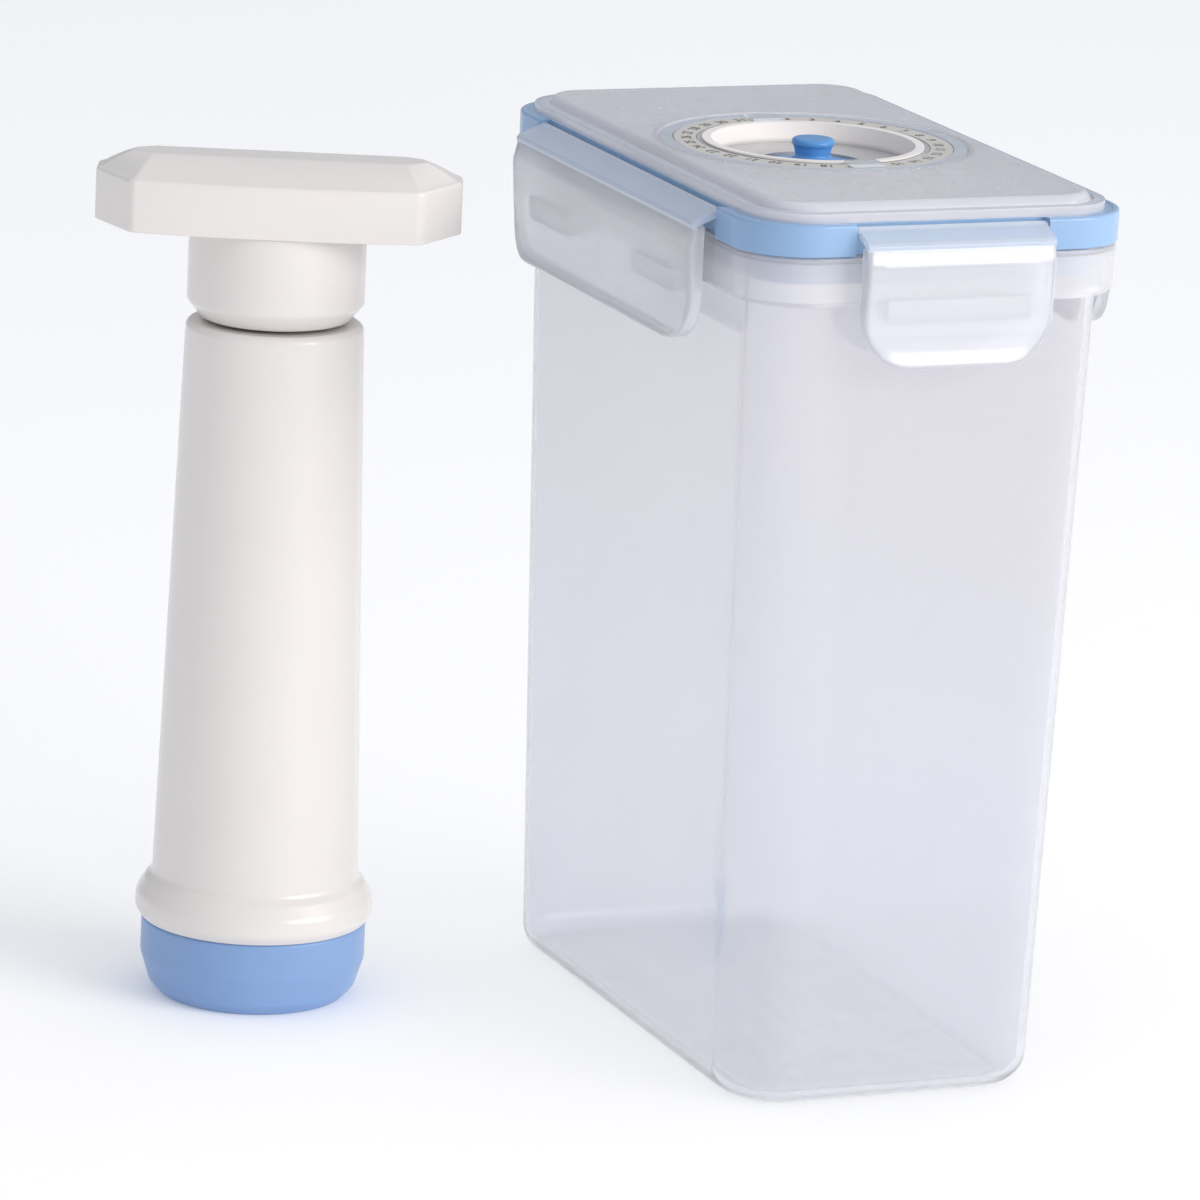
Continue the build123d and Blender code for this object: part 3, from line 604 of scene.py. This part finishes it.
# The latches: a plate with a rim, and the sloped web that joins it to the pin's barrel
plate_top = 206.8
plate_bottom = 178.5
plate_corner = 12.0
plate_top_corner = 1.6
plate_least_corner = 0.2
plate_out = 6.6
plate_in = 5.0
rim_in = 2.2
rim_wall = 1.4
bend_heights = [178.5, 182.0, 185.5, 188.5, 201.3, 202.2, 206.8]
bend_depths = [0.7, -0.2, -0.75, -0.9, -0.05, -0.15, -1.3]
axis_out = -1.4
axis_height = 209.4
barrel_radius = 0.9
pin_radius = 0.8
pin_reach = 1.1
web_end_gap = 0.05
hook_profile = soft_corners(
    [(-1.6, 189.3), (-1.6, 191.5), (1.4, 194.5), (5.4, 194.5), (5.4, 189.3)], 0.25, closed=True
)
barrel_turn = np.linspace(0.4, 1.6, 17) * np.pi
web_profile = np.vstack([
    np.stack([
        axis_out + barrel_radius * np.cos(barrel_turn),
        axis_height + barrel_radius * np.sin(barrel_turn),
    ], -1),
    soft_corners(
        [
            (-0.9, 208.4), (4.3, 206.3), (4.4, 205.6), (5.4, 205.6), (5.7, 206.8), (5.1, 207.6),
            (-0.9, 210.1),
        ],
        [0, 0.4, 0.1, 0.2, 0.3, 0.4, 0],
    ),
])


def plate_grid(width, profile):
    """The finger plate, drawn as (along, outwards, up) with its rim turned towards the box.

    Each row is the plate's outline moved inwards, whose lower corners are rounder than the upper
    ones. The face is then bent: it leans in towards the top and flares out to the finger's edge,
    by depths that change in straight lines between the heights of the bends.
    """
    even = np.linspace(-0.9, 0.9, 18)
    share_x, share_z, out_x, out_z = rounded_path(even, even[::2], 12)
    inset, depth = (profile[:, k, None] for k in range(2))
    low = np.maximum(plate_corner - inset, plate_least_corner)
    high = np.maximum(plate_top_corner - inset, plate_least_corner)
    radius = np.where(share_z < 0, low, high)
    x = share_x * (width / 2 - inset - radius) + radius * out_x
    lowest, highest = plate_bottom + inset + low, plate_top - inset - high
    z = lowest + (share_z + 1) / 2 * (highest - lowest) + radius * out_z
    follow = np.clip((depth - rim_in) / (plate_in - rim_in), 0, 1)
    depth = depth + follow * np.interp(z, bend_heights, bend_depths)
    return np.stack([x, depth, z], -1)


plate_rows = np.arange(3.4, 13.5, 0.9)
plate_profile = np.vstack([
    np.stack([plate_rows[::-1], np.full(len(plate_rows), plate_out)], -1),
    soft_corners(
        [
            (2.2, plate_out), (0.0, plate_out), (0.0, rim_in), (rim_wall, rim_in),
            (rim_wall, plate_in), (2.8, plate_in),
        ],
        [0, 1.0, 0.45, 0.45, 0.5, 0],
    ),
    np.stack([plate_rows, np.full(len(plate_rows), plate_in)], -1),
])


def prism(profile, stations):
    """A closed profile of (outwards, up) carried straight along, drawn as (along, outwards, up)."""
    along = np.asarray(stations, float)[:, None]
    out, up = (np.broadcast_to(profile[:, k], (len(stations), len(profile))) for k in range(2))
    return np.stack([np.broadcast_to(along, out.shape), out, up], -1)


def softened_ends(half, edge=0.3, steps=4):
    """Stations along a prism, and the shrink of its profile there, for ends with a soft edge."""
    turn = np.linspace(0, np.pi / 2, steps)
    near = half - edge + edge * np.sin(turn)
    shrink = edge * (1 - np.cos(turn))
    return np.concatenate([-near[::-1], near]), np.concatenate([shrink[::-1], shrink])


def bar(profile, half, edge=0.3):
    """A prism whose profile draws in towards its own middle at both ends, as a moulded bar's."""
    stations, shrink = softened_ends(half, edge)
    middle = profile.mean(0)
    reach = np.linalg.norm(profile - middle, axis=1)
    scale = 1 - shrink[:, None] / reach.max()
    grid = prism(profile, stations)
    grid[..., 1] = middle[0] + (grid[..., 1] - middle[0]) * scale
    grid[..., 2] = middle[1] + (grid[..., 2] - middle[1]) * scale
    return grid


def on_side(grid, out_x, out_y, half_size):
    """Moves a shape drawn as (along, outwards, up) onto one side of the lid."""
    along, out, up = (grid[..., k] for k in range(3))
    x = -out_y * along + out_x * (half_size + out)
    y = out_x * along + out_y * (half_size + out)
    return np.stack([x, y, up], -1)


pin_turn = np.linspace(0, 2 * np.pi, 20, endpoint=False)
pin_profile = np.stack([
    axis_out + pin_radius * np.cos(pin_turn), axis_height + pin_radius * np.sin(pin_turn),
], -1)
# For each side: its way out, the lid's half size there, the latch's width, half the length of a
# hook, and the hooks' places along the latch
latch_sides = {
    "front": (0, -1, lid_depth / 2, latch_front_width, 18.0, (0.0,)),
    "back": (0, 1, lid_depth / 2, latch_front_width, 18.0, (0.0,)),
    "left": (-1, 0, lid_width / 2, latch_side_width, 12.0, (-32.0, 32.0)),
    "right": (1, 0, lid_width / 2, latch_side_width, 12.0, (-32.0, 32.0)),
}
for side, (out_x, out_y, half_size, width, hook_half, hook_places) in latch_sides.items():
    shapes = [
        (plate_grid(width, plate_profile), "pole"),
        (bar(pin_profile, width / 2 + latch_end_gap + pin_reach, 0.2), "flat"),
    ]
    shapes += [(bar(hook_profile, hook_half) + [place, 0, 0], "flat") for place in hook_places]
    web = bar(web_profile, width / 2 - web_end_gap)
    make_piece(
        f"{side}_latch_web", f"{side}_latch", web_plastic,
        [grid_surface(on_side(web, out_x, out_y, half_size), "flat")],
    )
    make_piece(
        f"{side}_latch_clip", f"{side}_latch", latch_plastic,
        [grid_surface(on_side(grid, out_x, out_y, half_size), ends) for grid, ends in shapes],
        [f"latch_{side}"],
    )

# The dial: numbers printed on the day ring
day_top = 214.3
number_count = 31
number_size = 3.5
number_circle = 29.9
ink_rise = 0.04


def print_mark(text, size, turn, radius):
    """The points and faces of one printed sign, its foot towards the dial's middle."""
    words = bpy.data.curves.new("number", "FONT")
    words.body = text
    words.size = size * metres
    words.align_x = "CENTER"
    words.align_y = "CENTER"
    words.extrude = ink_rise / 2 * metres
    words.resolution_u = 3
    holder = bpy.data.objects.new("number", words)
    flat = bpy.data.meshes.new_from_object(holder)
    points = np.zeros(len(flat.vertices) * 3)
    flat.vertices.foreach_get("co", points)
    points = points.reshape(-1, 3) / metres
    faces = [list(face.vertices) for face in flat.polygons]
    x, y = points[:, 0].copy(), points[:, 1] + radius
    points[:, 0] = x * np.cos(turn) - y * np.sin(turn)
    points[:, 1] = x * np.sin(turn) + y * np.cos(turn)
    points[:, 2] += day_top + ink_rise / 2
    bpy.data.objects.remove(holder)
    bpy.data.curves.remove(words)
    bpy.data.meshes.remove(flat)
    return points, faces


marks = [
    print_mark(str(k + 1), number_size, -2 * np.pi * k / number_count, number_circle)
    for k in range(number_count)
]
make_piece("day_numbers", "day_dial", day_ink, marks)

# The silicone valve: cone, undercut nub, stem and bulb
button_profile = soft_corners(
    [
        (0.0, 203.0), (2.9, 203.0), (4.2, 204.5), (2.9, 206.0), (2.9, 208.55), (12.0, 208.55),
        (12.0, 209.05), (5.2, 210.35), (4.1, 211.4), (4.6, 213.4), (5.1, 214.0), (5.1, 215.35),
        (0.0, 215.35),
    ],
    [0, 0.8, 0.9, 0.4, 0.3, 0.2, 0.2, 0.9, 0.8, 0.6, 0.4, 0.9, 0],
)
button_profile[[0, -1], 0] = least_edge
make_piece(
    "valve_nub", "valve", valve_silicone,
    [grid_surface(turned(button_profile, around=96), "pole")], ["valve_button"],
)

# The pump's turned pieces
collar_arc = np.array([(27.2, 18.8), (28.75, 20.9), (28.6, 24.6), (26.6, 28.0), (24.9, 29.8)])
barrel_profile = soft_corners(
    [
        (21.6, 18.8), *collar_arc, (21.15, 165.6), (12.0, 165.6), (12.0, 163.8), (19.35, 163.8),
        (23.1, 30.0), (21.6, 28.2),
    ],
    [0.3, 0.7, 2.6, 4.0, 1.5, 2.4, 1.8, 0.4, 0.3, 0.4, 0.5, 0.4], steps=8, closed=True,
)
cup_profile = soft_corners(
    [
        (19.8, 0.0), (22.4, 0.0), (25.0, 2.8), (27.1, 9.6), (27.1, 18.8), (8.0, 18.8), (8.0, 13.6),
        (21.0, 13.6), (21.0, 11.0),
    ],
    [0.5, 1.6, 3.0, 3.0, 0.9, 0.3, 0.4, 1.6, 0.5], closed=True,
)
neck_profile = soft_corners(
    [
        (4.0, 166.4), (17.6, 166.4), (21.1, 170.6), (21.1, 189.0), (19.3, 189.0), (19.3, 170.6),
        (15.8, 168.2), (4.0, 168.2),
    ],
    [0.2, 1.6, 1.6, 0.3, 0.3, 0.5, 0.5, 0.2], closed=True,
)
for name, body, slot, material, node, profile in (
    (
        "pump_barrel_shell", "pump", "white_pump_plastic", pump_plastic,
        "pump_barrel", barrel_profile,
    ),
    ("suction_cup", "pump", "blue_cup_silicone", cup_silicone, "pump_suction_cup", cup_profile),
    ("plunger_neck", "plunger", "white_pump_plastic", pump_plastic, "pump_neck", neck_profile),
):
    make_piece(
        name, body, material,
        [grid_surface(turned(along_walls(profile, 14.0), pump_centre))], [node],
    )

# The T handle: a long plan with pointed ends and bowed sides, and a crowned top
handle_turn = np.radians(-22.2)
handle_bottom = 189.0
handle_brim = 201.4
handle_top = 205.6
handle_wall = 2.2
handle_bulge = 0.3


def pointed_outline(length, width, point_length, point_width, bow, corner):
    """An octagon with pointed ends, its corners rounded and its long sides bowed by a parabola.

    Every size has the same number of columns, so two outlines can be joined by straight lines.
    """
    near, side = length / 2 - point_length, width / 2 - bow
    quarter = [(length / 2, point_width / 2), (near, side)]
    half = quarter + [(-x, y) for x, y in quarter[::-1]]
    corners = np.array(half + [(-x, -y) for x, y in half])
    arcs = soft_corners(corners, corner, steps=7, closed=True).reshape(8, 7, 2)
    runs = []
    for k, count in enumerate((3, 19, 3, 1) * 2):
        share = np.linspace(0, 1, count + 2)[1:-1, None]
        runs += [arcs[k], (1 - share) * arcs[k][-1] + share * arcs[(k + 1) % 8][0]]
    outline = np.vstack(runs)
    outline[:, 1] += np.sign(outline[:, 1]) * bow * (1 - np.clip(outline[:, 0] / near, -1, 1) ** 2)
    return outline


def inset_rows(outline, profile):
    """The outline moved inwards along its own normals, a row for each (inset, height) pair."""
    step = np.roll(outline, -1, 0) - np.roll(outline, 1, 0)
    out = np.stack([step[:, 1], -step[:, 0]], -1)
    out *= np.sign((out * outline).sum()) / np.linalg.norm(out, axis=1)[:, None]
    inset, height = (profile[:, k, None] for k in range(2))
    x = outline[:, 0] - inset * out[:, 0]
    y = outline[:, 1] - inset * out[:, 1]
    return np.stack([x, y, np.broadcast_to(height, x.shape)], -1)


def crown_rows(first, ridge, height, count=8):
    """Rows from the first one up to the ridge, bulged a little by half a sine."""
    share = np.linspace(0, 1, count)[1:, None, None]
    last = np.concatenate([ridge, np.full((len(ridge), 1), height)], -1)
    rows = (1 - share) * first + share * last
    rows[..., 2] += handle_bulge * np.sin(np.pi * share[..., 0])
    return rows


handle_outline = pointed_outline(
    length=86.5, width=44.0, point_length=9.0, point_width=8.0, bow=2.5, corner=2.6
)
ridge_outline = pointed_outline(
    length=68.0, width=8.0, point_length=4.5, point_width=3.0, bow=0.0, corner=1.0
)
handle_profile = soft_corners(
    [
        (handle_wall, handle_brim - handle_wall), (handle_wall, handle_bottom),
        (0.0, handle_bottom), (0.0, handle_brim), (1.6, handle_brim + 0.37),
    ],
    [0, 0.2, 0.4, 1.0, 0],
)
handle_sides = inset_rows(handle_outline, along_walls(handle_profile, 4.0))
handle_rows = np.concatenate([
    crown_rows(handle_sides[0], ridge_outline, handle_top - handle_wall)[::-1],
    handle_sides,
    crown_rows(handle_sides[-1], ridge_outline, handle_top),
])
cos_turn, sin_turn = np.cos(handle_turn), np.sin(handle_turn)
handle_grid = np.stack([
    pump_centre[0] + handle_rows[..., 0] * cos_turn - handle_rows[..., 1] * sin_turn,
    pump_centre[1] + handle_rows[..., 0] * sin_turn + handle_rows[..., 1] * cos_turn,
    handle_rows[..., 2],
], -1)
make_piece(
    "pump_handle_shell", "plunger", pump_plastic,
    [grid_surface(handle_grid, "flat")], ["pump_handle"],
)

# The floor, far wider than the object
floor_mesh = bpy.data.meshes.new("floor")
floor_mesh.from_pydata([(-9, -9, 0), (9, -9, 0), (9, 9, 0), (-9, 9, 0)], [], [(0, 1, 2, 3)])
floor = bpy.data.objects.new("floor", floor_mesh)
bpy.context.scene.collection.objects.link(floor)
floor_mesh.materials.append(moulded(
    "pale_studio_sheet", ("#f3f3f4", "#f6f6f7"), (0.7, 0.8), patch=400.0,
    Emission_Color=linear("#ffffff"), Emission_Strength=0.16,
))

# Soft studio light: a pale surround, a little darker low down, at the left and far behind, and
# one large lamp at the front right
world = bpy.data.worlds.new("studio")
bpy.context.scene.world = world
world.use_nodes = True
world.node_tree.nodes.clear()
way = add_node(world.node_tree, "ShaderNodeTexCoord").outputs["Generated"]
way_parts = add_node(world.node_tree, "ShaderNodeSeparateXYZ", None, {"Vector": way}).outputs
sky = add_node(world.node_tree, "ShaderNodeMapRange", {"interpolation_type": "SMOOTHSTEP"}, {
    "Value": way_parts["Z"], "From Min": -0.05, "From Max": 0.75, "To Min": 0.7, "To Max": 0.9,
})
side_light = add_node(world.node_tree, "ShaderNodeMapRange", None, {
    "Value": way_parts["X"], "From Min": -1.0, "From Max": 1.0, "To Min": 0.84, "To Max": 1.16,
})
far_light = add_node(world.node_tree, "ShaderNodeMapRange", None, {
    "Value": way_parts["Y"], "From Min": 0.3, "From Max": 0.9, "To Min": 1.0, "To Max": 0.6,
})
across = add_node(world.node_tree, "ShaderNodeMath", {"operation": "MULTIPLY"}, {
    0: sky.outputs["Result"], 1: side_light.outputs["Result"],
})
strength = add_node(world.node_tree, "ShaderNodeMath", {"operation": "MULTIPLY"}, {
    0: across.outputs["Value"], 1: far_light.outputs["Result"],
})
glow = add_node(world.node_tree, "ShaderNodeBackground", None, {
    "Color": linear("#f4f6fb"), "Strength": strength.outputs["Value"],
})
add_node(world.node_tree, "ShaderNodeOutputWorld", None, {"Surface": glow.outputs["Background"]})


def soft_lamp(name, place, aim, size, power, colour):
    """A rectangular area lamp at a place, in metres, that faces the aim."""
    lamp = bpy.data.lights.new(name, "AREA")
    lamp.shape = "RECTANGLE"
    lamp.size, lamp.size_y = size
    lamp.energy = power
    lamp.color = linear(colour)[:3]
    holder = bpy.data.objects.new(name, lamp)
    bpy.context.scene.collection.objects.link(holder)
    forward = np.array(aim, float) - np.array(place, float)
    forward /= np.linalg.norm(forward)
    right = np.cross(forward, (0, 0, 1))
    right /= np.linalg.norm(right)
    up = np.cross(right, forward)
    holder.matrix_world = Matrix([
        [right[k], up[k], -forward[k], place[k]] for k in range(3)
    ] + [[0, 0, 0, 1]])


soft_lamp(
    "key_lamp", place=(1.12, -1.58, 0.85), aim=(-0.03, 0, 0.1), size=(1.5, 0.8), power=29.0,
    colour="#fffaf4",
)

# The camera at the photograph's viewing angle: about 14 degrees from above, with a long lens
camera_data = bpy.data.cameras.new("camera")
camera_data.sensor_width = 36.0
camera_data.lens = 222.1
camera = bpy.data.objects.new("camera", camera_data)
bpy.context.scene.collection.objects.link(camera)
camera.matrix_world = Matrix((
    (0.92513074, 0.04957272, -0.37639827, -0.709346),
    (-0.3768579, 0.23990326, -0.89466449, -1.569648),
    (0.04594822, 0.96953028, 0.24062375, 0.527560),
    (0.0, 0.0, 0.0, 1.0),
))
bpy.context.scene.camera = camera
bpy.context.scene.view_settings.view_transform = "Standard"
bpy.context.scene.cycles.use_denoising = True
bpy.context.scene.cycles.sample_clamp_indirect = 2.5
bpy.context.scene.cycles.caustics_reflective = False
bpy.context.scene.cycles.caustics_refractive = False
bpy.context.scene.cycles.max_bounces = 24
bpy.context.scene.cycles.transmission_bounces = 24
